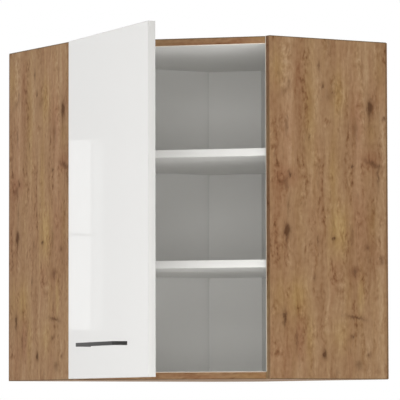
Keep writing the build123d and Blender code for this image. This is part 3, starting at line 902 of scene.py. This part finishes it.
# %% Find the solids of a node
def middle_of(solid):
    """The middle of a solid's corner points, rounded so that it can be sorted by."""
    return tuple(round(v, 4) for v in sum(solid, Vector()) / len(solid))


def seats(node):
    """The separate solids of a node in a fixed order, each as a list of its corner points."""
    bm = joined(node)
    loose, solids = set(bm.verts), []
    while loose:
        waiting, solid = [loose.pop()], []
        while waiting:
            vert = waiting.pop()
            solid.append(vert.co.copy())
            near = {edge.other_vert(vert) for edge in vert.link_edges} & loose
            loose -= near
            waiting.extend(near)
        solids.append(solid)
    bm.free()
    return sorted(solids, key=middle_of)


print(len(seats("handle_screws")), "handle screws")

# %% [markdown]
# The seat of a fastener is the middle of its outermost face. Each copy is turned a little further than
# the one before, because no two screws stop at the same angle.

# %% Put a copy on each seat
NEXT_TURN = 2.4          # radians


def fasten(node, unit, heads):
    """Put a copy of a fastener on each solid of a node; heads gives the way its head points."""
    pattern = bpy.data.meshes.new(node + "_pattern")
    unit.to_mesh(pattern)
    unit.free()
    whole = bmesh.new()
    for number, solid in enumerate(seats(node)):
        head = heads(solid[0])
        top = max(spot.dot(head) for spot in solid)
        outermost = [spot for spot in solid if top - spot.dot(head) < NOTHING]
        seat = sum(outermost, Vector()) / len(outermost)
        before = len(whole.verts)
        whole.from_mesh(pattern)
        whole.verts.ensure_lookup_table()
        bmesh.ops.transform(whole, verts=whole.verts[before:], matrix=Matrix.Translation(seat)
                            @ head.to_track_quat("Z", "Y").to_matrix().to_4x4()
                            @ Matrix.Rotation(number * NEXT_TURN, 4, "Z"))
    stand_in(whole, node, "turned")


def facing(direction):
    """For fasteners whose heads all point the same way."""
    return lambda spot: direction


def inward(spot):
    """Away from the side that a screw is in."""
    return -ALONG_LEFT if spot.x < 0 else -ALONG_RIGHT


print("in turns, the next screw stops", round(NEXT_TURN / (2 * pi), 2), "further")

# %% [markdown]
# The sizes are those of the CAD solids, since each copy stands for one of them. The heads of the
# handle's screws are on the back of the door, and those of the hinge plates face into the cabinet.

# %% Fasten everything
SCREWS = (               # node, radius and rise of the head, radius of the shank, length, direction
    ("handle_screws", 4.2, 2.4, 2.0, 28.4, facing(-OUTWARD)),
    ("hinge_cup_screws", 3.4, 1.4, 1.7, 13.9, facing(-OUTWARD)),
    ("hinge_plate_screws", 4.0, 2.2, 2.0, 16.2, inward),
    ("hinge_arm_screws", 4.0, 1.8, 2.0, 8.8, inward),
    ("bracket_screws", 4.0, 2.2, 2.0, 16.2, inward),
)
for node, head, rise, shank, length, heads in SCREWS:
    fasten(node, pan_head(head, rise, shank, length), heads)
fasten("rear_panel_screws", fastener([(0, -50), (3.4, -45), (3.4, -4), (5, -4), (5, -0.4), (4.6, 0)],
                                     hexagon(2.6), 3.0), facing(BACK))
for node, direction in (("left_back_nails", ALONG_RIGHT), ("right_back_nails", ALONG_LEFT)):
    fasten(node, fastener([(0, -13), (0.8, -11.5), (0.8, -0.8), (2, -0.8), (2, -0.5), (1.6, -0.15),
                           (0.8, 0)], sides=16), facing(-direction))
fasten("connector_cams", fastener([(7.5, -12.5), (7.5, -0.3), (7.2, 0)], cross(4.2), 2.0), facing(UP))
fasten("cam_caps", fastener([(8.7, -0.9), (8.7, -0.4), (8.5, -0.12), (7.9, 0)], sides=48), facing(UP))

# %% [markdown]
# ## Light
# A cabinet in a catalogue stands in even light from all sides. The world gives most of it, and the
# camera and mirror-like surfaces see the world as white, so the background is white too.

# %% World
AMBIENT = 0.45           # strength of the world where light is gathered, and 1 where it is seen
world = bpy.data.worlds.new("studio")
bpy.context.scene.world = world
world.use_nodes = True
Wire.tree = world.node_tree


def seen():
    """1 where the camera looks, straight or by way of a mirror or glass, and 0 elsewhere."""
    rays = ("Is Camera Ray", "Is Glossy Ray", "Is Transmission Ray")
    return least(sum(Wire.node("ShaderNodeLightPath", None, None, ray) for ray in rays), 1.0)


background = world.node_tree.nodes["Background"]
background.inputs["Color"].default_value = (1, 1, 1, 1)
world.node_tree.links.new((AMBIENT + seen() * (1.0 - AMBIENT)).socket, background.inputs["Strength"])
print("world with", len(world.node_tree.nodes), "nodes")

# %% [markdown]
# The rest of the light comes from large rectangles, because their shadows are soft. A point lamp or
# a sun would draw hard ones, which a catalogue picture doesn't have.

# %% A rectangle of light
def area_light(name, spot, turned, width, height, watts, *unseen_by):
    """A rectangle of light that some kinds of ray pass by."""
    data = bpy.data.lights.new(name, "AREA")
    data.shape, data.size, data.size_y, data.energy = "RECTANGLE", width, height, watts
    made = bpy.data.objects.new(name, data)
    made.location, made.rotation_euler = spot, turned
    for ray in unseen_by:
        setattr(made, "visible_" + ray, False)
    bpy.context.collection.objects.link(made)
    print(name, round(watts, 3), "watts")


def towards(azimuth, elevation=0):
    """Direction from the cabinet; azimuth 0 is straight in front of it, and 90 on its right."""
    around, up = radians(azimuth), radians(elevation)
    return Vector((sin(around) * cos(up), -cos(around) * cos(up), sin(up)))


def back_to(direction):
    """Turned so that the light shines against a direction."""
    return direction.to_track_quat("Z", "Y").to_euler()


# %% [markdown]
# Softboxes stand round the cabinet, and two bright panels on the floor in front of it light the
# undersides of the shelves. The lens and the gloss don't see any of them.

# %% Softboxes and floor panels
FLOOR = -1.45            # metres
MIDDLE = Vector((0, -0.45, 0.36))
CAMERA_SIDE = 14         # degrees to the right of straight in front
SOFTBOXES = (            # azimuth, elevation, distance, width, height, watts
    ("front_softbox", CAMERA_SIDE, 0, 8, 4, 3, 186),
    ("left_softbox", -70, 5, 4, 2.5, 2.5, 21),
    ("rear_left_softbox", -150, 30, 5, 2.5, 2.5, 60),
    ("rear_right_softbox", 150, 30, 5, 2.5, 2.5, 60),
)
FLOOR_PANELS = (         # distance, width, depth, watts
    ("near_floor_panel", 2.4, 4, 2.4, 54),
    ("far_floor_panel", 4.6, 5, 2.4, 185),
)
for name, azimuth, elevation, distance, width, height, watts in SOFTBOXES:
    away = towards(azimuth, elevation)
    area_light(name, MIDDLE + away * distance, back_to(away), width, height, watts, "camera", "glossy")
for name, distance, width, depth, watts in FLOOR_PANELS:
    spot = MIDDLE + towards(CAMERA_SIDE) * distance
    spot.z = FLOOR + 0.05
    area_light(name, spot, (pi, 0, radians(CAMERA_SIDE)), width, depth, watts, "camera", "glossy")

# %% [markdown]
# Two pairs of small panes are the other way round: they light no matt surface, and only gloss and
# metal mirror them. They put two bright patches with a dividing line on the open door.

# %% Panes that the gloss mirrors
FROM_DOOR = Vector((-0.8755, 0.4805, 0.0521))    # from the door's gloss to the panes
PANE_HEIGHT = 0.2665
PANE_ROWS = ("upper", 0.5755), ("lower", 0.3002)     # with their height above the cabinet's bottom
PANES = (                # x, y, width, and brightness, where 1 adds white
    ("left_pane", -2.4277, 0.5424, 0.0627, 0.61),
    ("right_pane", -2.4517, 0.4986, 0.0314, 0.24),
)
for row, z in PANE_ROWS:
    for name, x, y, width, brightness in PANES:
        area_light(f"{row}_{name}", (x, y, z), back_to(FROM_DOOR), width, PANE_HEIGHT,
                   brightness * pi * width * PANE_HEIGHT, "camera", "diffuse")

# %% [markdown]
# ## Floor
# A wide pale floor far below the cabinet throws light up. The camera looks past it, but it would be
# seen from above, so it glows a little where it is seen and stays close to the white round it.

# %% Floor
FAR = 20                 # metres to each side
GLOW = 0.32


def floor_paint():
    """Matt pale paint with a trace of unevenness."""
    grain = noise(place(), 3.0, 3.0)
    return {"Base Color": blend(grain, rgba(243, 243, 242), rgba(246, 246, 245)),
            "Roughness": 0.9 + grain * 0.05, "Emission Color": seen() * GLOW}


def stage_piece(name, corners, material):
    """A flat piece of the stage, which isn't part of the cabinet."""
    mesh = bpy.data.meshes.new(name)
    bm = bmesh.new()
    bm.faces.new([bm.verts.new(corner) for corner in corners])
    bm.to_mesh(mesh)
    bm.free()
    mesh.materials.append(material)
    made = bpy.data.objects.new(name, mesh)
    bpy.context.collection.objects.link(made)


stage_piece("floor", [(-FAR, -FAR, FLOOR), (FAR, -FAR, FLOOR), (FAR, FAR, FLOOR), (-FAR, FAR, FLOOR)],
            finish_of("floor_paint", floor_paint, Specular_IOR_Level=0.1, Emission_Strength=1.0))

# %% [markdown]
# ## Camera
# The photograph was taken from far away with a long lens, a little to the right and just below the
# cabinet. The place and the three angles were fitted to the edges of the boards.

# %% Camera
STAND = Vector((1.84827, -7.56256, -0.07046))
TURN, TILT, ROLL = 0.25206, 0.06236, -0.00208    # radians
camera_data = bpy.data.cameras.new("camera")
camera_data.sensor_width = 36.0
camera_data.lens = 307.07
camera_data.clip_end = 100.0
camera = bpy.data.objects.new("camera", camera_data)
camera.matrix_world = (Matrix.Translation(STAND) @ Matrix.Rotation(TURN, 4, "Z")
                       @ Matrix.Rotation(pi / 2 + TILT, 4, "X") @ Matrix.Rotation(ROLL, 4, "Z"))
bpy.context.collection.objects.link(camera)
bpy.context.scene.camera = camera
bpy.context.scene.view_settings.view_transform = "Standard"
print("camera", round(STAND.length, 2), "m from the corner of the room")
